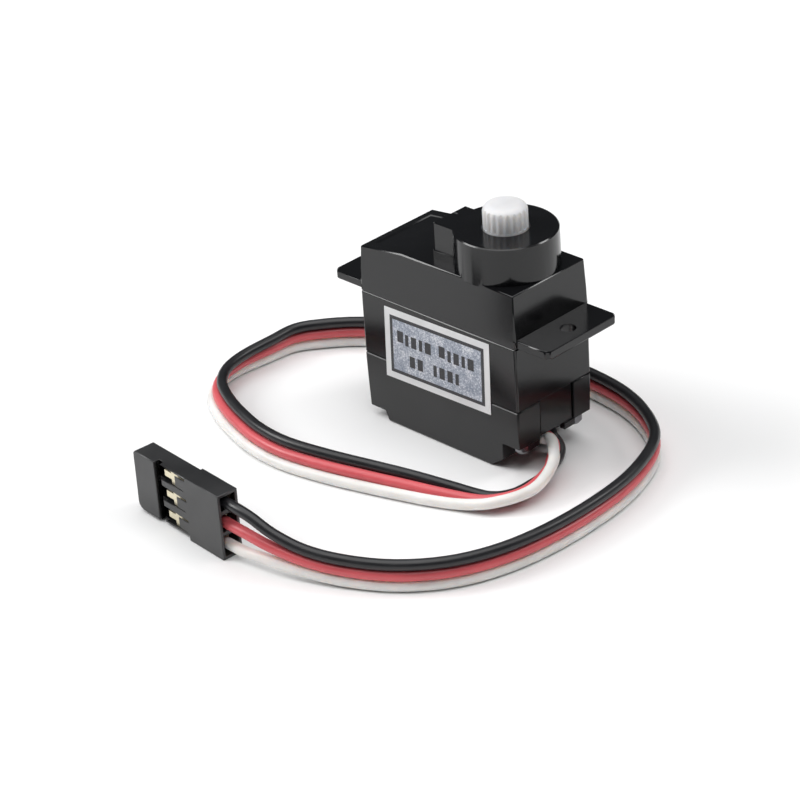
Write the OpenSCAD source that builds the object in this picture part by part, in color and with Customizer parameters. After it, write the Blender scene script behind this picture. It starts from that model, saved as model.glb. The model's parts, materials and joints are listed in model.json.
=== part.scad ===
// Micro servo: three-piece case, brushed motor, four-stage spur train,
// feedback potentiometer, control board, flat three-wire lead and plug.
// Origin at the middle of the case, on its underside. +X towards the output shaft end.

/* [Case] */
// Length of the case along X, mm
case_l = 23; // [22.5:0.1:24]
// Width of the case along Y, mm
case_w = 11.8; // [11.6:0.1:12.6]
// Height of the seam between bottom cover and middle case, mm
seam_z = 8.0; // [7:0.1:9]
// Height of the seam between middle and top case, mm
deck_z = 15.7; // [15.7:0.1:15.7]
// Height of the top case's flat roof, mm
roof_z = 22.0; // [21.8:0.1:22.4]
// Height of the shaft boss's top, mm
boss_z = 26.3; // [26.2:0.1:26.6]
// Radius of the shaft boss at its top, mm
boss_r = 5.72; // [5.6:0.02:5.85]
// Chamfer on the case's upright corners, mm
corner_c = 0.15; // [0.1:0.05:0.6]

/* [Mounting tabs] */
// Overall length across the tabs, mm
tabs_l = 31.8; // [31:0.1:33]
// Underside height of the tabs, mm
tab_z = 15.8; // [15.7:0.05:16]
// Thickness of the tabs, mm
tab_t = 1.0; // [0.8:0.1:1.6]
// Distance between the mounting holes, mm
hole_gap = 27.6; // [27.2:0.1:28.4]
// Radius of the mounting holes, mm
hole_r = 0.9; // [0.8:0.05:1.1]

/* [Gears] */
// Tooth module, mm
m = 0.2; // [0.2:0.01:0.2]
// Pressure angle, degrees
pa = 25; // [20:1:25]
// Play taken off each tooth flank at the pitch circle, mm
play = 0.012; // [0.008:0.002:0.02]
// Teeth of the wheels driven by nine-tooth pinions
wheel_big = 41; // [41:1:41]
// Teeth of the wheels driven by thirteen-tooth pinions
wheel_small = 37; // [37:1:37]
// Teeth of the motor pinion and the second gear's pinion
pinion_big = 13; // [13:1:13]
// Teeth of the first and third gears' pinions
pinion_small = 9; // [9:1:9]
// X of the output axis, mm
out_x = 5.38; // [5.3:0.01:5.5]
// X step from one axis to the next, mm
step_x = 4.9; // [4.8:0.01:4.95]

/* [Output shaft] */
// Radius over the spline, mm
shaft_r = 2.45; // [2.3:0.05:2.5]
// Depth of the spline grooves, mm
spline_d = 0.17; // [0.1:0.01:0.25]
// Number of splines
spline_n = 21; // [20:1:25]
// Height of the shaft's top, mm
shaft_z = 29.0; // [28.8:0.1:29.6]

/* [Lead and plug] */
// Diameter of each wire, mm
wire_d = 1.25; // [1.1:0.05:1.3]
// Length of the plug, mm
plug_l = 14.8; // [14:0.1:15]
// Height of the plug, mm
plug_h = 7.8; // [7.6:0.1:8]
// Thickness of the plug, mm
plug_t = 2.6; // [2.4:0.1:2.8]

/* [Hidden] */
$fn = 48;

hl = case_l / 2;
hw = case_w / 2;
draft = 0.22;
draft_z = tab_z + tab_t;
plug_step = 5.8;
pitch = 2.54;
dist = m * (wheel_big + pinion_small) / 2;
step_y = sqrt(dist * dist - step_x * step_x);
turn = atan2(step_y, step_x);
O = [out_x, 0];
A = [out_x - step_x, -step_y];
M = [out_x - 2 * step_x, 0];
screws = [[10.3, 4.15, 3.4, 1.1], [10.3, -4.15, 3.4, 1.1], [-10.2, 4.3, 2.3, 1.0], [-10.2, -4.3, 2.3, 1.0]];

// ---- helpers -------------------------------------------------------------
module xz(pts, w) {
    rotate([90, 0, 0]) linear_extrude(w, center = true) polygon(pts);
}

module yz(pts, l) {
    rotate([90, 0, 90]) linear_extrude(l, center = true) polygon(pts);
}

module plan(l, w, c, z0, z1) {
    translate([0, 0, z0]) linear_extrude(z1 - z0) polygon([[-l / 2 + c, -w / 2], [l / 2 - c, -w / 2],
        [l / 2, -w / 2 + c], [l / 2, w / 2 - c], [l / 2 - c, w / 2], [-l / 2 + c, w / 2],
        [-l / 2, w / 2 - c], [-l / 2, -w / 2 + c]]);
}

module box(x0, x1, y0, y1, z0, z1) {
    translate([x0, y0, z0]) cube([x1 - x0, y1 - y0, z1 - z0]);
}

module rod(p, r, z0, z1) {
    translate([p[0], p[1], z0]) cylinder(r = r, h = z1 - z0);
}

module tube(p, r1, r0, z0, z1) {
    difference() {
        rod(p, r1, z0, z1);
        rod(p, r0, z0 - 1, z1 + 1);
    }
}

function inv(a) = tan(a) * 180 / PI - a;
function base_r(n) = m * n / 2 * cos(pa);
function half_a(n, q) = 90 / n - play / (m * n / 2) * 180 / PI + inv(pa)
    - (q > base_r(n) ? inv(acos(base_r(n) / q)) : 0);
function foot_r(n) = m * n / 2 - 1.05 * m;
function tip_r(n) = m * n / 2 + 0.8 * m;
function levels(n) = foot_r(n) < base_r(n)
    ? [foot_r(n), base_r(n), (2 * base_r(n) + tip_r(n)) / 3, (base_r(n) + 2 * tip_r(n)) / 3, tip_r(n)]
    : [foot_r(n), (2 * foot_r(n) + tip_r(n)) / 3, (foot_r(n) + 2 * tip_r(n)) / 3, tip_r(n)];
function at(q, a) = [q * cos(a), q * sin(a)];
function side(n, v, i, s) = [for (q = v) at(q, i * 360 / n + s * half_a(n, q))];
function back(v) = [for (i = [len(v) - 1 : -1 : 0]) v[i]];
function gear_pts(n) = let (v = levels(n)) [for (i = [0 : n - 1])
    each concat(side(n, v, i, -1), back(side(n, v, i, 1)))];

module gear(p, n, tooth_at, z0, z1) {
    translate([p[0], p[1], z0]) rotate([0, 0, tooth_at]) linear_extrude(z1 - z0) polygon(gear_pts(n));
}

module sector(p, r0, r1, a, half, z0, z1) {
    intersection() {
        tube(p, r1, r0, z0, z1);
        translate([p[0], p[1], z0 - 1]) rotate([0, 0, a]) linear_extrude(z1 - z0 + 2)
            polygon([[0, 0], for (k = [-1 : 2 / 3 : 1]) at(2 * r1, k * half)]);
    }
}

// ---- case ----------------------------------------------------------------
module screw_bores(z0, z1, r) {
    for (s = screws) rod(s, r, z0, z1);
}

module bottom_cover() {
    color([0.10, 0.10, 0.11]) difference() {
        union() {
            difference() {
                intersection() {
                    xz([[-hl, seam_z], [-hl + 0.17, 1.2], [-9.1, 1.2], [-8.6, 0], [6.8, 0], [8.85, 1.4],
                        [8.85, 3.4], [hl - 0.12, 3.4], [hl, seam_z]], case_w + 2);
                    yz([[-hw, seam_z], [-hw + 0.2, 0.15], [-hw + 0.35, 0], [hw - 0.35, 0], [hw - 0.2, 0.15],
                        [hw, seam_z]], case_l + 2);
                    plan(case_l, case_w, corner_c, 0, seam_z);
                }
                xz([[-10.6, seam_z + 1], [-10.6, 2.0], [-8.7, 2.0], [-8.2, 0.8], [6.5, 0.8], [8.05, 1.85],
                    [8.05, 4.2], [10.6, 4.2], [10.6, seam_z + 1]], 10.2);
            }
            intersection() {
                union() {
                    for (s = screws) rod(s, 1.05, s[2], seam_z);
                    for (s = [screws[2], screws[3]]) rod(s, 1.4, 1.3, 3.2);
                }
                plan(case_l - 0.4, case_w - 0.4, corner_c, 0, seam_z);
            }
            box(10.6, hl - 0.14, -4.2, -2.45, 2.7, 3.6);
            box(10.6, hl - 0.14, 1.55, 3.3, 2.7, 3.6);
            box(-6.5, -5.9, -5.1, -3.6, 0.7, 1.5);
            box(-6.5, -5.9, 3.6, 5.1, 0.7, 1.5);
            box(4.6, 5.2, -5.1, -3.6, 0.7, 1.5);
            box(4.6, 5.2, 3.6, 5.1, 0.7, 1.5);
        }
        for (s = screws) rod(s, 0.62, s[2] - 1, seam_z + 1);
        for (s = screws) rod(s, 1.05, s[2] - 3, s[2]);
        box(10.5, 12, -2.35, 3.05, 3.6, seam_z + 1);
        box(7.9, 12, -2.45, 1.55, 2.3, 3.66);
    }
}

module mid_case() {
    color([0.09, 0.09, 0.10]) difference() {
        union() {
            difference() {
                union() {
                    plan(case_l - 0.3, case_w - 0.3, corner_c, seam_z, seam_z + 1);
                    plan(case_l, case_w, corner_c, seam_z + 0.13, deck_z);
                }
                box(-10.6, 10.6, -5.1, 5.1, seam_z - 1, deck_z - 0.8);
            }
            intersection() {
                for (s = screws) rod(s, 1.05, seam_z, deck_z);
                plan(case_l - 0.4, case_w - 0.4, corner_c, seam_z, deck_z);
            }
            box(10.62, 11.34, -2.28, 2.84, 3.68, seam_z + 0.8);
        }
        screw_bores(seam_z - 1, deck_z + 1, 0.62);
        rod(M, 1.62, deck_z - 2, deck_z + 1);
        rod(O, 0.64, deck_z - 2, deck_z + 1);
        rod(A, 0.39, deck_z - 2, deck_z + 1);
    }
}

module top_case() {
    color([0.08, 0.08, 0.09]) difference() {
        union() {
            intersection() {
                xz([[-hl, deck_z], [-hl, draft_z], [-hl + draft, 21.2], [-5, roof_z],
                    [hl - draft, roof_z], [hl, draft_z], [hl, deck_z]], case_w + 2);
                yz([[-hw, deck_z], [-hw, draft_z], [-hw + draft, roof_z], [hw - draft, roof_z],
                    [hw, draft_z], [hw, deck_z]], case_l + 2);
                plan(case_l, case_w, corner_c, deck_z, roof_z);
            }
            plan(tabs_l, case_w - 0.6, 0.45, tab_z, tab_z + tab_t);
            translate([O[0], 0, roof_z - 0.35])
                cylinder(r1 = boss_r + 0.1, r2 = boss_r, h = boss_z - roof_z + 0.35, $fn = 96);
            box(-1.5, O[0], -4.02, 1.05, roof_z - 1, boss_z);
            box(-1.65, 1.6, -4.18, 1.2, roof_z - 1, roof_z + 1.05);
        }
        difference() {
            box(-10.6, 10.6, -5.05, 5.05, deck_z - 1, 20.6);
            for (s = screws) rod(s, 1.05, deck_z - 2, 21);
        }
        rod(O, 4.6, 20, boss_z - 0.8);
        rod(A, 1.3, 20, boss_z - 0.8);
        rod(O, shaft_r + 0.04, 25, boss_z + 1);
        rod(A, 0.42, 25, boss_z - 0.35);
        screw_bores(deck_z - 1, 19.6, 0.52);
        for (s = [-1, 1]) translate([s * hole_gap / 2, 0, 15]) cylinder(r = hole_r, h = 3);
        xz([[-10.15, 23], [-10.15, 21.22], [-4.8, roof_z + 0.01], [-4.8, 23]], 8.6);
        box(-1.25, -0.35, -1.25, -0.95, boss_z - 0.06, boss_z + 1);
    }
    color([0.08, 0.08, 0.09]) difference() {
        sector(O, 3.0, 4.7, 180, 75, 24.75, boss_z - 0.7);
        rod(A, 0.55, 24, boss_z);
    }
}

module case_screws() {
    color([0.35, 0.35, 0.37]) for (s = screws) difference() {
        union() {
            rod(s, 0.55, s[2] - 0.3, 19.4);
            translate([s[0], s[1], s[2] - s[3]]) cylinder(r1 = 0.72, r2 = 0.97, h = 0.35);
            rod(s, 0.97, s[2] - s[3] + 0.35, s[2]);
        }
        box(s[0] - 0.5, s[0] + 0.5, s[1] - 0.12, s[1] + 0.12, s[2] - s[3] - 1, s[2] - s[3] + 0.45);
        box(s[0] - 0.12, s[0] + 0.12, s[1] - 0.5, s[1] + 0.5, s[2] - s[3] - 1, s[2] - s[3] + 0.45);
    }
}

module label() {
    color([0.62, 0.64, 0.66]) translate([0, -hw - 0.03, 0])
        xz([[-7.9, 14.95], [-8.2, 6.2], [7.55, 6.6], [7.75, 15.3]], 0.06);
}

// ---- gear train ----------------------------------------------------------
module output_gear() {
    color([0.93, 0.92, 0.88]) difference() {
        union() {
            gear(O, wheel_big, 180 + turn + 180 / wheel_big, 22.4, 24.4);
            rod(O, 1.5, 20.0, 22.4);
            rod(O, shaft_r - 0.02, 24.3, boss_z + 0.12);
            sector(O, 2.0, 3.9, 0, 10, 24.3, 25.35);
            intersection() {
                translate([O[0], 0, boss_z]) linear_extrude(4)
                    polygon([for (i = [0 : spline_n - 1]) for (j = [0 : 3])
                        at(j < 2 ? shaft_r : shaft_r - spline_d, (i + j / 4) * 360 / spline_n)]);
                translate([O[0], 0, 0]) rotate_extrude() polygon([[0, 25], [2.6, 25], [2.6, 28.1],
                    [2.47, 28.28], [2.41, 28.45], [2.32, 28.62], [2.16, 28.79], [1.95, 28.91],
                    [1.7, 28.98], [1.5, shaft_z], [0, shaft_z]]);
            }
        }
        difference() {
            rod(O, 0.59, 19, 24.5);
            box(O[0] + 0.35, O[0] + 1, -1, 1, 18, 25);
        }
    }
}

module gear_3() {
    color([0.90, 0.89, 0.84]) difference() {
        union() {
            gear(A, wheel_small, turn + 180 / wheel_small, 18.75, 19.75);
            gear(A, pinion_small, turn, 19.7, 24.6);
            rod(A, 0.65, 18.62, 18.8);
        }
        rod(A, 0.44, 18, 26);
    }
}

module gear_2() {
    color([0.91, 0.90, 0.86]) difference() {
        union() {
            gear(O, wheel_big, 180 + turn + 180 / wheel_big, 17.4, 18.4);
            gear(O, pinion_big, 180 + turn, 18.35, 19.9);
            rod(O, 1.0, deck_z + 0.02, 17.5);
        }
        rod(O, 0.64, 15, 21);
    }
}

module gear_1() {
    color([0.90, 0.89, 0.84]) difference() {
        union() {
            gear(A, wheel_small, 180 - turn + 180 / wheel_small, 16.0, 17.2);
            gear(A, pinion_small, turn, 17.15, 18.6);
            rod(A, 0.65, deck_z + 0.02, 16.1);
        }
        rod(A, 0.44, 15, 20);
    }
}

module motor_pinion() {
    color([0.80, 0.66, 0.34]) difference() {
        gear(M, pinion_big, -turn, 16.0, 17.2);
        rod(M, 0.39, 15, 18);
    }
}

module idler_pin() {
    color([0.78, 0.79, 0.80]) rod(A, 0.4, deck_z - 0.8, boss_z - 0.4);
}

// ---- position sensor -----------------------------------------------------
module pot_shaft() {
    color([0.80, 0.80, 0.78]) difference() {
        rod(O, 0.6, 10.6, 24.45);
        box(O[0] + 0.36, O[0] + 1, -1, 1, 20, 25);
    }
}

module pot_wiper() {
    color([0.83, 0.70, 0.42]) difference() {
        union() {
            rod(O, 1.1, 12.2, 13.0);
            box(O[0] + 0.8, O[0] + 3.1, -0.4, 0.4, 12.4, 12.7);
            box(O[0] + 2.6, O[0] + 3.1, -0.3, 0.3, 11.24, 12.5);
        }
        rod(O, 0.59, 12, 14);
    }
}

module pot_body() {
    color([0.16, 0.20, 0.34]) difference() {
        rod(O, 4.2, 10.4, deck_z - 0.8);
        rod(O, 3.7, 11.0, 14.3);
        rod(O, 0.64, 10, 16);
    }
}

module pot_track() {
    color([0.12, 0.12, 0.12]) difference() {
        tube(O, 3.4, 2.2, 11.0, 11.2);
        box(O[0] - 4, O[0] - 1, -0.5, 0.5, 10, 12);
    }
}

// ---- motor ---------------------------------------------------------------
module motor_can() {
    color([0.70, 0.71, 0.72]) difference() {
        union() {
            rod(M, 4.1, 5.0, deck_z - 0.82);
            rod(M, 1.55, 14, deck_z - 0.1);
        }
        rod(M, 3.8, 4, 14.4);
        rod(M, 0.44, 4, 17);
    }
}

module motor_end_cap() {
    color([0.90, 0.90, 0.86]) difference() {
        union() {
            rod(M, 3.79, 5.0, 5.8);
            tube(M, 1.2, 0.44, 4.6, 5.4);
        }
        rod(M, 0.44, 4, 6);
    }
}

module motor_magnets() {
    color([0.25, 0.25, 0.27]) for (a = [0, 180]) sector(M, 2.95, 3.78, a, 62, 7.4, 13.4);
}

module motor_shaft() {
    color([0.82, 0.83, 0.84]) rod(M, 0.4, 4.7, 17.4);
}

module motor_core() {
    color([0.52, 0.53, 0.55]) difference() {
        union() {
            rod(M, 1.0, 8, 12.8);
            for (a = [90, 210, 330]) {
                translate([M[0], 0, 8]) rotate([0, 0, a]) translate([0.5, -0.35, 0]) cube([1.8, 0.7, 4.8]);
                sector(M, 2.2, 2.7, a, 50, 8, 12.8);
            }
        }
        rod(M, 0.39, 5, 15);
    }
}

module motor_coils() {
    color([0.72, 0.38, 0.16]) for (a = [90, 210, 330])
        translate([M[0], 0, 0]) rotate([0, 0, a]) difference() {
            translate([1.15, -0.75, 7.6]) cube([0.85, 1.5, 5.6]);
            translate([1.0, -0.36, 7.99]) cube([1.4, 0.72, 4.82]);
        }
}

module commutator() {
    color([0.80, 0.52, 0.28]) difference() {
        rod(M, 0.85, 6.0, 7.4);
        rod(M, 0.39, 5, 8);
        for (a = [30, 150, 270]) translate([M[0], 0, 6.2]) rotate([0, 0, a]) translate([0.7, -0.05, 0])
            cube([0.5, 0.1, 2]);
    }
}

module motor_brushes() {
    color([0.83, 0.62, 0.33]) for (s = [-1, 1]) {
        box(M[0] - 0.25, M[0] + 0.25, min(s * 0.88, s * 1.2), max(s * 0.88, s * 1.2), 6.3, 7.1);
        box(M[0] - 0.25, M[0] + 0.25, min(s * 1.1, s * 3.2), max(s * 1.1, s * 3.2), 6.5, 6.65);
        box(M[0] - 0.25, M[0] + 0.25, min(s * 2.9, s * 3.2), max(s * 2.9, s * 3.2), 5.8, 6.6);
    }
}

// ---- control board -------------------------------------------------------
module circuit_board() {
    color([0.10, 0.33, 0.18]) box(-7.9, 7.3, -4.7, 4.7, 1.5, 2.3);
}

module control_chip() {
    color([0.07, 0.07, 0.08]) difference() {
        box(-3.4, 1.6, -1.9, 1.9, 2.4, 3.5);
        rod([-2.7, 1.3], 0.25, 3.4, 4);
    }
    color([0.75, 0.76, 0.78]) for (i = [0 : 6]) for (s = [-1, 1])
        box(-3.1 + i * 0.7, -2.8 + i * 0.7, min(s * 1.9, s * 2.7), max(s * 1.9, s * 2.7), 2.3, 2.75);
}

module board_parts() {
    color([0.72, 0.60, 0.42]) {
        box(3.0, 4.6, -3.9, -3.1, 2.3, 3.0);
        box(2.6, 4.2, 2.6, 3.4, 2.3, 3.0);
        box(-6.9, -5.3, -0.4, 0.4, 2.3, 2.9);
        box(-2.4, -0.8, -4.1, -3.4, 2.3, 2.9);
        box(-1.6, 0.0, 3.4, 4.1, 2.3, 2.9);
    }
}

module motor_leads() {
    color([0.75, 0.15, 0.12]) for (s = [-1, 1]) rod([M[0], s * 2.6], 0.3, 2.3, 5.0);
}

module sensor_leads() {
    color([0.78, 0.79, 0.80]) for (y = [-2.2, 0, 2.2]) rod([O[0] - 1.0, y], 0.28, 2.3, 10.4);
}

module solder_joints() {
    color([0.78, 0.78, 0.76]) for (i = [-1 : 1])
        box(6.4, 7.0, -0.45 + i * wire_d - 0.5, -0.45 + i * wire_d + 0.5, 2.3, 3.4);
}

// ---- lead ----------------------------------------------------------------
// route: x, y, z of the middle wire, tilt of the ribbon from upright, half spread of the outer wires
route = [[7, -0.45, 2.98, 90, 1.25], [9.4, -0.45, 2.96, 90, 1.25], [10.3, -0.42, 2.68, 104, 1.25],
    [11.2, -0.35, 2.2, 130, 1.25], [12, -0.9, 1.95, 158, 1.25], [12.85, -2.05, 1.93, 180, 1.25],
    [13.6, -3.2, 1.91, 193, 1.25], [14.3, -4.2, 1.84, 204, 1.25], [14.75, -5.5, 1.68, 218, 1.25],
    [14.95, -6.9, 1.47, 231, 1.25], [15, -8.4, 1.3, 240, 1.25], [14.75, -9.9, 1.22, 244, 1.25],
    [13.9, -11.5, 1.12, 249, 1.25], [12.6, -12.6, 0.93, 258, 1.25], [11, -13.25, 0.8, 268, 1.25],
    [9, -14.1, 0.9, 281, 1.25], [6.5, -15.2, 1.15, 293, 1.25], [3.5, -16.3, 1.35, 304, 1.25],
    [0, -17.5, 1.5, 313, 1.25], [-5, -19, 1.65, 323, 1.25], [-10.5, -20, 1.7, 329, 1.25],
    [-15, -19.8, 1.72, 330, 1.25], [-19, -18.8, 1.72, 330, 1.25], [-23, -17.3, 1.72, 330, 1.25],
    [-26.6, -15.2, 1.72, 330, 1.25], [-28.7, -12.4, 1.75, 332, 1.25], [-29.4, -8.8, 1.8, 337, 1.25],
    [-29.1, -4.2, 1.86, 346, 1.25], [-28.8, -1, 1.9, 354, 1.25], [-27.2, 1.6, 1.9, 360, 1.25],
    [-23.6, 5.2, 1.9, 360, 1.25], [-17, 9, 1.9, 360, 1.25], [-9, 11.5, 1.9, 360, 1.25],
    [0, 12.5, 1.9, 360, 1.25], [7.8, 12.2, 1.9, 360, 1.25], [13, 11, 1.9, 360, 1.25],
    [17.4, 8.7, 1.9, 360, 1.25], [20.4, 6, 1.9, 360, 1.25], [22.4, 2, 1.9, 360, 1.25],
    [23.8, -3.5, 1.9, 360, 1.25], [24.2, -10.5, 1.9, 360, 1.25], [23.7, -17, 1.9, 360, 1.25],
    [22.4, -22.2, 1.9, 360, 1.25], [20.1, -26.6, 1.9, 360, 1.25], [16.5, -30.3, 1.9, 360, 1.25],
    [12.2, -32.9, 2, 360, 1.25], [8, -34.7, 2.4, 360, 1.3], [4.2, -35.8, 3.1, 360, 1.7],
    [1, -36.3, 3.75, 360, 2.4], [-1.42, -36.3, 3.9, 360, 2.54]];
function cr(a, b, c, d, t) = 0.5 * (2 * b + (c - a) * t + (2 * a - 5 * b + 4 * c - d) * t * t
    + (3 * b - a - 3 * c + d) * t * t * t);
last = len(route) - 1;
function xyz(v) = [v[0], v[1], v[2]];
function stops(i) = norm(xyz(route[i + 1]) - xyz(route[i])) > 3 * wire_d ? [0, 0.5] : [0];
path = [for (i = [0 : last - 1]) for (t = stops(i))
    cr(route[max(i - 1, 0)], route[i], route[i + 1], route[min(i + 2, last)], t), route[last]];
np = len(path);
function unit(v) = v / norm(v);
function dir(i) = unit(xyz(path[min(i + 1, np - 1)]) - xyz(path[max(i - 1, 0)]));
function up(i) = let (d = dir(i), s = unit(cross([0, 0, 1], d)), a = path[i][3])
    unit(cos(a) * cross(d, s) + sin(a) * s);
function ring(i) = let (c = xyz(path[i]), u = up(i), w = cross(dir(i), u), h = path[i][4], r = wire_d / 2)
    [for (a = [90, 30, -30, -90]) c + h * u + r * (cos(a) * u + sin(a) * w),
    for (a = [-90, -150, -210, -270]) c - h * u + r * (cos(a) * u + sin(a) * w)];

module lead() {
    color([0.86, 0.84, 0.80]) polyhedron(points = [for (i = [0 : np - 1]) each ring(i)],
        faces = [[for (j = [0 : 7]) j], for (i = [0 : np - 2]) for (j = [0 : 7]) for (h = [0, 1])
        let (k = (j + 1) % 8) h == 0 ? [i * 8 + j, (i + 1) * 8 + j, (i + 1) * 8 + k]
            : [i * 8 + j, (i + 1) * 8 + k, i * 8 + k],
        [for (j = [7 : -1 : 0]) (np - 1) * 8 + j]]);
}

module plug() {
    translate([-1.5, -36.3, 0]) rotate([0, 0, 175]) children();
}

module connector_housing() {
    far_z0 = 0.33;
    far_z1 = plug_h - 0.3;
    front = plug_t / 2;
    color([0.12, 0.12, 0.13]) plug() difference() {
        union() {
            box(0, plug_step, -front, front, 0, plug_h);
            xz([[plug_step - 0.5, far_z0], [plug_l - 0.85, far_z0], [plug_l - 0.4, far_z0 + 0.15],
                [plug_l - 0.1, far_z0 + 0.45], [plug_l, far_z0 + 0.9], [plug_l, far_z1 - 0.3],
                [plug_l - 0.3, far_z1], [plug_step - 0.5, far_z1]], plug_t);
        }
        box(plug_step, 11.1, front - 0.2, front + 1, -1, plug_h + 1);
        box(10.3, 11.1, front - 0.75, front + 1, -1, plug_h + 1);
        box(-1, 0.6, -0.95, 0.95, plug_h / 2 - pitch - 1, plug_h / 2 + pitch + 1);
        for (i = [-1 : 1]) translate([0, 0, plug_h / 2 + i * pitch]) {
            box(-1, 12.9, -0.95, 0.95, -1.0, 1.0);
            box(12.5, plug_l + 1, -0.42, 0.42, -0.42, 0.42);
            box(7.8, 10.5, 0, 3, -0.8, 0.95);
            box(6.1, 8, 0, 3, 0.6, 0.85);
            box(6.4, 8, 0, 3, -0.8, -0.66);
        }
    }
}

module connector_contacts() {
    color([0.88, 0.76, 0.45]) plug() for (i = [-1 : 1])
        translate([0, 0, plug_h / 2 + i * pitch]) difference() {
            box(1.6, 9.9, -0.8, 0.8, -0.85, 0.85);
            box(6.5, 11, -0.6, 0.6, -0.62, 0.62);
            box(1, 5.4, -0.55, 2, -0.6, 0.6);
            box(8.7, 11, 0, 2, 0.45, 2);
            box(8.7, 11, 0, 2, -2, -0.3);
        }
}

bottom_cover();
mid_case();
top_case();
case_screws();
label();
output_gear();
gear_3();
gear_2();
gear_1();
motor_pinion();
idler_pin();
pot_shaft();
pot_wiper();
pot_body();
pot_track();
motor_can();
motor_end_cap();
motor_magnets();
motor_shaft();
motor_core();
motor_coils();
commutator();
motor_brushes();
circuit_board();
control_chip();
board_parts();
motor_leads();
sensor_leads();
solder_joints();
lead();
connector_housing();
connector_contacts();
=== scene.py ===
"""Micro servo motor on a white floor: materials, rounded shells, printed label and a three-wire lead."""
import json
import math

import bmesh
import bpy
from mathutils import Matrix, Vector


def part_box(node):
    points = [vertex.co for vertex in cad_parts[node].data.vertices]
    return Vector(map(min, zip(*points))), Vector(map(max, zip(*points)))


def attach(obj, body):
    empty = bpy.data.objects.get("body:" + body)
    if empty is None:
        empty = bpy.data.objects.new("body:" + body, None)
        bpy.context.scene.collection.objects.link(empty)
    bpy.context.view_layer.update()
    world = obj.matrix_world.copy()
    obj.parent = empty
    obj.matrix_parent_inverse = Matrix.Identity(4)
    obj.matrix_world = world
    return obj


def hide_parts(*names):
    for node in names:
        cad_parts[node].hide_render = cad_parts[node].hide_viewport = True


MM = 0.001
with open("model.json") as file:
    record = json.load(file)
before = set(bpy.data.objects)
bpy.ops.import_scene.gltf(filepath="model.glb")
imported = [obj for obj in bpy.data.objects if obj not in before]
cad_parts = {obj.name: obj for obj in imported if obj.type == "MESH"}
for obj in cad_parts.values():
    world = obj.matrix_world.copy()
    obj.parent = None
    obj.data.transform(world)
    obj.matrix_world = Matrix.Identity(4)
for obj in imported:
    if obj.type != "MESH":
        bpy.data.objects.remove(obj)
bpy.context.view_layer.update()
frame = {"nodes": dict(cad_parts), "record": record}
nodes = frame["nodes"]
scene = bpy.context.scene

# ---------------------------------------------------------------- camera
CAMERA_AT = Vector((203.587, -207.913, 166.606)) * MM
AZIMUTH, ELEVATION, ROLL = 46.116, 29.227, -3.879
LENS = 135.16


def make_camera():
    az, el, roll = (math.radians(a) for a in (AZIMUTH, ELEVATION, ROLL))
    back = Vector((math.sin(az) * math.cos(el), -math.cos(az) * math.cos(el), math.sin(el)))
    level = (-back).cross(Vector((0, 0, 1))).normalized()
    upright = level.cross(-back)
    right = math.cos(roll) * level + math.sin(roll) * upright
    up = -math.sin(roll) * level + math.cos(roll) * upright
    data = bpy.data.cameras.new("camera")
    data.lens = LENS
    data.sensor_width = 36
    data.clip_start = 0.01
    data.clip_end = 20
    camera = bpy.data.objects.new("camera", data)
    scene.collection.objects.link(camera)
    camera.matrix_world = Matrix.Translation(CAMERA_AT) @ Matrix((right, up, back)).transposed().to_4x4()
    scene.camera = camera


make_camera()


# ---------------------------------------------------------------- materials
def new_material(name):
    mat = bpy.data.materials.new(name)
    mat.use_nodes = True
    tree = mat.node_tree
    shader = tree.nodes["Principled BSDF"]
    return mat, tree, shader


def noise(tree, scale_mm, detail=3.0, stretch=(1, 1, 1)):
    """Noise in object space: scale_mm is the size of its blotches, stretch squeezes them along each axis."""
    coord = tree.nodes.new("ShaderNodeTexCoord")
    mapping = tree.nodes.new("ShaderNodeMapping")
    mapping.inputs["Scale"].default_value = stretch
    tex = tree.nodes.new("ShaderNodeTexNoise")
    tex.inputs["Scale"].default_value = 1 / (scale_mm * MM)
    tex.inputs["Detail"].default_value = detail
    tree.links.new(coord.outputs["Object"], mapping.inputs["Vector"])
    tree.links.new(mapping.outputs["Vector"], tex.inputs["Vector"])
    return tex.outputs["Fac"]


def ramp(tree, fac, stops):
    node = tree.nodes.new("ShaderNodeValToRGB")
    elements = node.color_ramp.elements
    while len(elements) < len(stops):
        elements.new(0.5)
    for element, (at, colour) in zip(elements, stops):
        element.position = at
        element.color = (*colour, 1)
    tree.links.new(fac, node.inputs["Fac"])
    return node.outputs["Color"]


def spread(tree, fac, low, high):
    node = tree.nodes.new("ShaderNodeMapRange")
    node.inputs["From Min"].default_value = 0.3
    node.inputs["From Max"].default_value = 0.7
    node.inputs["To Min"].default_value = low
    node.inputs["To Max"].default_value = high
    tree.links.new(fac, node.inputs["Value"])
    return node.outputs["Result"]


def bump(tree, shader, fac, height_mm):
    node = tree.nodes.new("ShaderNodeBump")
    node.inputs["Distance"].default_value = height_mm * MM
    tree.links.new(fac, node.inputs["Height"])
    tree.links.new(node.outputs["Normal"], shader.inputs["Normal"])


def tint(colour, k):
    return tuple(min(1.0, c * k) for c in colour)


def finish_material(name, colour, rough, grain_mm, grain_h, vary=0.12, metallic=0.0, blotch_mm=4.0,
                    stretch=(1, 1, 1), specular=0.5):
    """A moulded, drawn or sintered surface: blotchy tone, uneven roughness and a fine grain."""
    mat, tree, shader = new_material(name)
    blotch = noise(tree, blotch_mm, 4.0)
    grain = noise(tree, grain_mm, 3.0, stretch)
    tone = ramp(tree, blotch, [(0.3, tint(colour, 1 - vary)), (0.7, tint(colour, 1 + vary))])
    tree.links.new(tone, shader.inputs["Base Color"])
    tree.links.new(spread(tree, blotch, rough * 0.85, rough * 1.2), shader.inputs["Roughness"])
    shader.inputs["Metallic"].default_value = metallic
    shader.inputs["Specular IOR Level"].default_value = specular
    bump(tree, shader, grain, grain_h)
    return mat


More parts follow.
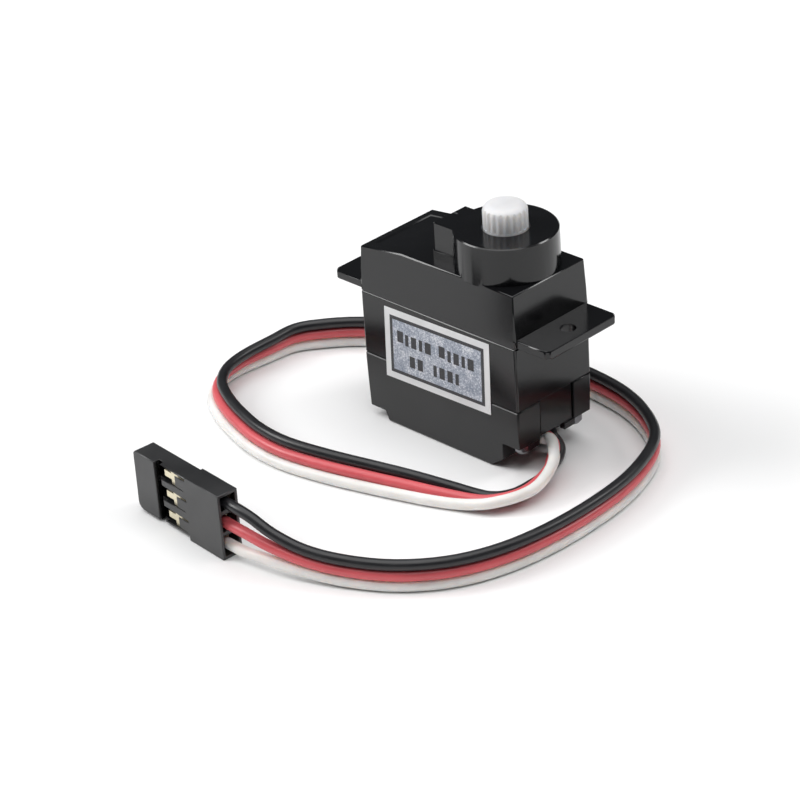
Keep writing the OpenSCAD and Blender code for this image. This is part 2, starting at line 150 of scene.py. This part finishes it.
def soft_plastic(name, colour, rough, scatter=0.0, vary=0.06, depth_mm=0.4):
    """Wire sleeve or nylon: smooth, slightly waxy, with a faint waviness."""
    mat, tree, shader = new_material(name)
    blotch = noise(tree, 3.0, 2.0)
    tone = ramp(tree, blotch, [(0.3, tint(colour, 1 - vary)), (0.7, tint(colour, 1 + vary))])
    tree.links.new(tone, shader.inputs["Base Color"])
    tree.links.new(spread(tree, blotch, rough * 0.85, rough * 1.15), shader.inputs["Roughness"])
    shader.inputs["Subsurface Weight"].default_value = scatter
    shader.inputs["Subsurface Scale"].default_value = depth_mm * MM
    shader.inputs["Subsurface Radius"].default_value = (1.0, 0.9, 0.8)
    bump(tree, shader, noise(tree, 0.9, 2.0), 0.004)
    return mat


def speckled_foil():
    mat, tree, shader = new_material("label_foil")
    fleck = noise(tree, 0.16, 5.0)
    cloud = noise(tree, 1.6, 3.0)
    mix = tree.nodes.new("ShaderNodeMath")
    mix.operation = "MULTIPLY_ADD"
    mix.inputs[1].default_value = 0.65
    tree.links.new(fleck, mix.inputs[0])
    half = tree.nodes.new("ShaderNodeMath")
    half.operation = "MULTIPLY"
    half.inputs[1].default_value = 0.35
    tree.links.new(cloud, half.inputs[0])
    tree.links.new(half.outputs[0], mix.inputs[2])
    tone = ramp(tree, mix.outputs[0], [(0.36, (0.24, 0.28, 0.36)), (0.5, (0.42, 0.46, 0.54)),
                                       (0.62, (0.80, 0.82, 0.86))])
    tree.links.new(tone, shader.inputs["Base Color"])
    tree.links.new(spread(tree, fleck, 0.28, 0.5), shader.inputs["Roughness"])
    shader.inputs["Metallic"].default_value = 0.15
    bump(tree, shader, fleck, 0.006)
    return mat


MATERIALS = {
    "case_plastic": finish_material("case_plastic", (0.0060, 0.0062, 0.0070), 0.17, 0.3, 0.002,
                                    blotch_mm=6.0),
    "cover_plastic": finish_material("cover_plastic", (0.0095, 0.0097, 0.0105), 0.32, 0.16, 0.003,
                                     blotch_mm=5.0),
    "screw_steel": finish_material("screw_steel", (0.24, 0.24, 0.255), 0.22, 0.12, 0.002, metallic=0.9),
    "label_foil": speckled_foil(),
    "label_paper": finish_material("label_paper", (0.82, 0.825, 0.83), 0.5, 0.2, 0.004, vary=0.06),
    "label_ink": finish_material("label_ink", (0.045, 0.045, 0.05), 0.45, 0.12, 0.003, vary=0.35,
                                 blotch_mm=0.25),
    "white_nylon": soft_plastic("white_nylon", (0.74, 0.74, 0.75), 0.42, scatter=1.0, depth_mm=1.2),
    "brass": finish_material("brass", (0.78, 0.60, 0.28), 0.25, 0.2, 0.002, metallic=1.0),
    "bright_steel": finish_material("bright_steel", (0.62, 0.63, 0.65), 0.2, 0.2, 0.001, metallic=1.0),
    "sensor_plastic": finish_material("sensor_plastic", (0.06, 0.09, 0.22), 0.4, 0.2, 0.003),
    "carbon_film": finish_material("carbon_film", (0.02, 0.02, 0.02), 0.5, 0.1, 0.002),
    "motor_steel": finish_material("motor_steel", (0.50, 0.51, 0.53), 0.28, 0.3, 0.002, metallic=1.0),
    "magnet": finish_material("magnet", (0.10, 0.10, 0.11), 0.5, 0.08, 0.004, metallic=0.6),
    "copper_wire": finish_material("copper_wire", (0.65, 0.28, 0.11), 0.3, 0.1, 0.006, metallic=1.0,
                                   stretch=(1, 1, 6)),
    "board": finish_material("board", (0.02, 0.16, 0.06), 0.35, 0.3, 0.002),
    "chip": finish_material("chip", (0.015, 0.015, 0.016), 0.45, 0.08, 0.002),
    "ceramic": finish_material("ceramic", (0.42, 0.30, 0.16), 0.4, 0.1, 0.002),
    "solder": finish_material("solder", (0.60, 0.61, 0.62), 0.25, 0.4, 0.006, metallic=1.0),
    "wire_red": soft_plastic("wire_red", (0.68, 0.11, 0.125), 0.36, scatter=0.1),
    "wire_black": soft_plastic("wire_black", (0.014, 0.014, 0.016), 0.36),
    "wire_white": soft_plastic("wire_white", (0.82, 0.81, 0.785), 0.42, scatter=0.9, depth_mm=0.8),
    "plug_plastic": finish_material("plug_plastic", (0.008, 0.0083, 0.0095), 0.42, 0.12, 0.003, blotch_mm=5.0,
                                    specular=0.95),
    "contact_gold": finish_material("contact_gold", (0.86, 0.78, 0.58), 0.30, 0.2, 0.003, metallic=0.65),
}


def paint(obj, slot):
    obj.data.materials.clear()
    obj.data.materials.append(MATERIALS[slot])


def paint_cad_nodes():
    """Gives every CAD node the material of its slot in the record."""
    for row in frame["record"]["subparts"]:
        obj = nodes[row["node"]]
        for slot in obj.material_slots:
            slot.material = MATERIALS[row["material_slot"]]
        if not obj.material_slots:
            obj.data.materials.append(MATERIALS[row["material_slot"]])


def new_object(name, data):
    obj = bpy.data.objects.new(name, data)
    scene.collection.objects.link(obj)
    return obj


# ---------------------------------------------------------------- lead: x, y, z, tilt, half spread, in mm
ROUTE = [(7, -0.45, 2.98, 90, 1.25), (9.4, -0.45, 2.96, 90, 1.25), (10.3, -0.42, 2.68, 104, 1.25),
         (11.2, -0.35, 2.2, 130, 1.25), (12, -0.9, 1.95, 158, 1.25), (12.85, -2.05, 1.93, 180, 1.25),
         (13.6, -3.2, 1.91, 193, 1.25), (14.3, -4.2, 1.84, 204, 1.25), (14.75, -5.5, 1.68, 218, 1.25),
         (14.95, -6.9, 1.47, 231, 1.25), (15, -8.4, 1.3, 240, 1.25), (14.75, -9.9, 1.22, 244, 1.25),
         (13.9, -11.5, 1.12, 249, 1.25), (12.6, -12.6, 0.93, 258, 1.25), (11, -13.25, 0.8, 268, 1.25),
         (9, -14.1, 0.9, 281, 1.25), (6.5, -15.2, 1.15, 293, 1.25), (3.5, -16.3, 1.35, 304, 1.25),
         (0, -17.5, 1.5, 313, 1.25), (-5, -19, 1.65, 323, 1.25), (-10.5, -20, 1.7, 329, 1.25),
         (-15, -19.8, 1.72, 330, 1.25), (-19, -18.8, 1.72, 330, 1.25), (-23, -17.3, 1.72, 330, 1.25),
         (-26.6, -15.2, 1.72, 330, 1.25), (-28.7, -12.4, 1.75, 332, 1.25),
         (-29.4, -8.8, 1.8, 337, 1.25), (-29.1, -4.2, 1.86, 346, 1.25), (-28.8, -1, 1.9, 354, 1.25),
         (-27.2, 1.6, 1.9, 360, 1.25), (-23.6, 5.2, 1.9, 360, 1.25), (-17, 9, 1.9, 360, 1.25),
         (-9, 11.5, 1.9, 360, 1.25), (0, 12.5, 1.9, 360, 1.25), (7.8, 12.2, 1.9, 360, 1.25),
         (13, 11, 1.9, 360, 1.25), (17.4, 8.7, 1.9, 360, 1.25), (20.4, 6, 1.9, 360, 1.25),
         (22.4, 2, 1.9, 360, 1.25), (23.8, -3.5, 1.9, 360, 1.25), (24.2, -10.5, 1.9, 360, 1.25),
         (23.7, -17, 1.9, 360, 1.25), (22.4, -22.2, 1.9, 360, 1.25), (20.1, -26.6, 1.9, 360, 1.25),
         (16.5, -30.3, 1.9, 360, 1.25), (12.2, -32.9, 2, 360, 1.25), (8, -34.7, 2.4, 360, 1.3),
         (4.2, -35.8, 3.1, 360, 1.7), (1, -36.3, 3.75, 360, 2.4), (-1.42, -36.3, 3.9, 360, 2.54)]
INTO_PLUG = (-2.9, -36.18, 3.9, 360, 2.54)
WIRE_D = 1.25
STEPS = 4    # rings from one route point to the next
SIDES = 14   # sides of a wire


def catmull(a, b, c, d, t):
    return tuple(0.5 * (2 * q + (r - p) * t + (2 * p - 5 * q + 4 * r - s) * t * t
                        + (3 * q - p - 3 * r + s) * t ** 3) for p, q, r, s in zip(a, b, c, d))


def route_points():
    pts = ROUTE + [INTO_PLUG]
    last = len(pts) - 1
    out = []
    for i in range(last):
        for k in range(STEPS):
            out.append(catmull(pts[max(i - 1, 0)], pts[i], pts[i + 1], pts[min(i + 2, last)], k / STEPS))
    return out + [pts[last]]


def wire_lines():
    """The centre lines of the white, red and black wires, in metres."""
    pts = route_points()
    lines = {"white": [], "red": [], "black": []}
    for i, p in enumerate(pts):
        ahead, behind = Vector(pts[min(i + 1, len(pts) - 1)][:3]), Vector(pts[max(i - 1, 0)][:3])
        along = (ahead - behind).normalized()
        side = Vector((0, 0, 1)).cross(along).normalized()
        tilt = math.radians(p[3])
        across = (math.cos(tilt) * along.cross(side) + math.sin(tilt) * side).normalized()
        for name, k in (("white", -1), ("red", 0), ("black", 1)):
            lines[name].append((Vector(p[:3]) + k * p[4] * across) * MM)
    return lines


def make_wire(name, line):
    """A round sleeve swept along the line, with its rings carried on without twist."""
    mesh = bmesh.new()
    rings = []
    side = Vector((0, 0, 1)).cross(line[1] - line[0]).normalized()
    for i, at in enumerate(line):
        along = (line[min(i + 1, len(line) - 1)] - line[max(i - 1, 0)]).normalized()
        side = (side - side.dot(along) * along).normalized()
        other = along.cross(side)
        turns = [2 * math.pi * k / SIDES for k in range(SIDES)]
        rings.append([mesh.verts.new(at + WIRE_D / 2 * MM * (math.cos(t) * side + math.sin(t) * other))
                      for t in turns])
    for first, second in zip(rings, rings[1:]):
        for k in range(SIDES):
            n = (k + 1) % SIDES
            mesh.faces.new((first[k], first[n], second[n], second[k]))
    mesh.faces.new(rings[0][::-1])
    mesh.faces.new(rings[-1])
    bmesh.ops.recalc_face_normals(mesh, faces=mesh.faces)
    data = bpy.data.meshes.new(name)
    mesh.to_mesh(data)
    mesh.free()
    for polygon in data.polygons:
        polygon.use_smooth = len(polygon.vertices) == 4
    obj = new_object(name, data)
    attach(obj, "case")
    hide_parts("lead")
    return obj


def make_lead():
    for name, line in wire_lines().items():
        wire = make_wire(f"wire_{name}", line)
        wire.data.materials.append(MATERIALS[f"wire_{name}"])


make_lead()
paint_cad_nodes()


# ---------------------------------------------------------------- rounded shells
WELD_MM = 0.0005    # points closer than this are one point
FLAT_DEG = 0.6      # faces that bend less than this are one face
SHARP_DEG = 25      # edges that bend more than this are broken
SHORTEST_MM = 0.2   # shorter edges stay as they are


def eased(node, body, slot, width_mm):
    """The CAD node's own shape with its outer edges broken by a small flat, as a moulding has them."""
    mesh = nodes[node].data.copy()
    work = bmesh.new()
    work.from_mesh(mesh)
    bmesh.ops.remove_doubles(work, verts=work.verts, dist=WELD_MM * MM)
    bmesh.ops.dissolve_limit(work, angle_limit=math.radians(FLAT_DEG), verts=work.verts, edges=work.edges)
    weight = work.edges.layers.float.new("bevel_weight_edge")
    for edge in work.edges:
        bend = math.degrees(edge.calc_face_angle_signed(0.0)) if len(edge.link_faces) == 2 else 0.0
        edge.smooth = abs(bend) < SHARP_DEG
        if bend > SHARP_DEG and edge.calc_length() > SHORTEST_MM * MM:
            edge[weight] = 1.0
    work.to_mesh(mesh)
    work.free()
    obj = new_object(f"{node}_shell", mesh)
    cut = obj.modifiers.new("edges", "BEVEL")
    cut.width = width_mm * MM
    cut.segments = 1
    cut.limit_method = "WEIGHT"
    cut.use_clamp_overlap = False
    cut.mark_sharp = True
    normals = obj.modifiers.new("normals", "WEIGHTED_NORMAL")
    normals.keep_sharp = True
    for polygon in mesh.polygons:
        polygon.use_smooth = True
    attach(obj, body)
    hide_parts(node)
    paint(obj, slot)


eased("bottom_cover", "case", "cover_plastic", 0.08)
eased("mid_case", "case", "case_plastic", 0.09)
eased("top_case", "case", "case_plastic", 0.12)
eased("connector_housing", "case", "plug_plastic", 0.07)


# ---------------------------------------------------------------- label, in mm
LABEL_CORNERS = ((-8.2, 6.2), (7.55, 6.6), (7.75, 15.3), (-7.9, 14.95))   # x, z on the case's front
LABEL_SIZE = (15.7, 8.72)
LABEL_MARGIN = 0.8
LABEL_LINE = 0.42
LABEL_SINK_MM = 0.05   # how far each tile reaches into the one below it
PRINT_LIFT_MM = 0.005
# the bars that stand for print: left edge, width, height of the middle
BARS = [(1.9, 0.9, 5.6), (3.1, 0.5, 5.4), (4.0, 0.8, 5.4), (5.2, 0.5, 5.4), (6.1, 0.9, 5.4), (8.2, 0.9, 5.6),
        (9.5, 0.5, 5.4), (10.4, 0.8, 5.4), (11.6, 0.5, 5.4), (12.5, 0.9, 5.4), (3.7, 0.8, 2.9),
        (4.9, 0.8, 2.9), (7.3, 0.5, 2.9), (8.2, 0.8, 2.9), (9.4, 0.8, 2.9), (10.6, 0.5, 2.9)]


def make_label():
    """Paper margin, ink frame, speckled foil and generic ink bars, on the label's own outline."""
    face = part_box("label")[0].y - PRINT_LIFT_MM * MM
    corners = [Vector(c) for c in LABEL_CORNERS]
    wide, tall = LABEL_SIZE

    def place(x, z, lift):
        u, v = x / wide, z / tall
        a = corners[0].lerp(corners[1], u)
        b = corners[3].lerp(corners[2], u)
        at = a.lerp(b, v)
        return Vector((at.x * MM, face - lift * MM, at.y * MM))

    mesh = bmesh.new()

    def tile(x0, x1, z0, z1, lift, slot):
        around = ((x0, z0), (x1, z0), (x1, z1), (x0, z1))
        outer = [mesh.verts.new(place(x, z, lift)) for x, z in around]
        inner = [mesh.verts.new(place(x, z, -LABEL_SINK_MM)) for x, z in around]
        faces = [mesh.faces.new(outer), mesh.faces.new(inner[::-1])]
        for i in range(4):
            j = (i + 1) % 4
            faces.append(mesh.faces.new((outer[i], inner[i], inner[j], outer[j])))
        for f in faces:
            f.material_index = slot

    tile(0, wide, 0, tall, 0.0, 0)
    edge, inside = LABEL_MARGIN, LABEL_MARGIN + LABEL_LINE
    tile(edge, wide - edge, edge, tall - edge, 0.012, 1)
    tile(inside, wide - inside, inside, tall - inside, 0.02, 2)
    for x, w, z in BARS:
        tile(x, x + w, z - 0.75, z + 0.65, 0.028, 1)
    data = bpy.data.meshes.new("label_print")
    for slot in ("label_paper", "label_ink", "label_foil"):
        data.materials.append(MATERIALS[slot])
    bmesh.ops.recalc_face_normals(mesh, faces=mesh.faces)
    mesh.to_mesh(data)
    mesh.free()
    obj = new_object("label_print", data)
    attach(obj, "case")
    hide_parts("label")


make_label()


# ---------------------------------------------------------------- floor and light
LIGHTS_AIM_AT = Vector((0, 0, 0.01))
FLOOR_HALF = 2.5


def make_floor():
    mesh = bpy.data.meshes.new("floor")
    s = FLOOR_HALF
    mesh.from_pydata([(-s, -s, 0), (s, -s, 0), (s, s, 0), (-s, s, 0)], [], [(0, 1, 2, 3)])
    floor = new_object("floor", mesh)
    mat, tree, shader = new_material("floor_white")
    tone = ramp(tree, noise(tree, 60, 2.0), [(0.3, (0.90, 0.90, 0.90)), (0.7, (0.92, 0.92, 0.92))])
    tree.links.new(tone, shader.inputs["Base Color"])
    shader.inputs["Roughness"].default_value = 0.9
    shader.inputs["Specular IOR Level"].default_value = 0.1
    mesh.materials.append(mat)


def area(name, at, size, power):
    """A rectangular light turned towards the servo's foot."""
    data = bpy.data.lights.new(name, "AREA")
    data.shape = "RECTANGLE"
    data.size, data.size_y = size
    data.energy = power
    light = new_object(name, data)
    light.location = at
    light.rotation_euler = (LIGHTS_AIM_AT - Vector(at)).to_track_quat("-Z", "Y").to_euler()


def make_light():
    world = bpy.data.worlds.new("world")
    scene.world = world
    world.use_nodes = True
    world.node_tree.nodes["Background"].inputs["Color"].default_value = (0.9, 0.95, 1.0, 1)
    world.node_tree.nodes["Background"].inputs["Strength"].default_value = 0.05
    area("overhead", (0.0, -0.05, 0.75), (0.9, 0.9), 6.2)
    area("left_front", (-0.55, -0.43, 0.53), (0.38, 0.38), 3.8)
    area("right_back", (0.43, 0.53, 0.55), (0.24, 0.24), 1.6)
    scene.view_settings.view_transform = "Standard"


make_floor()
make_light()
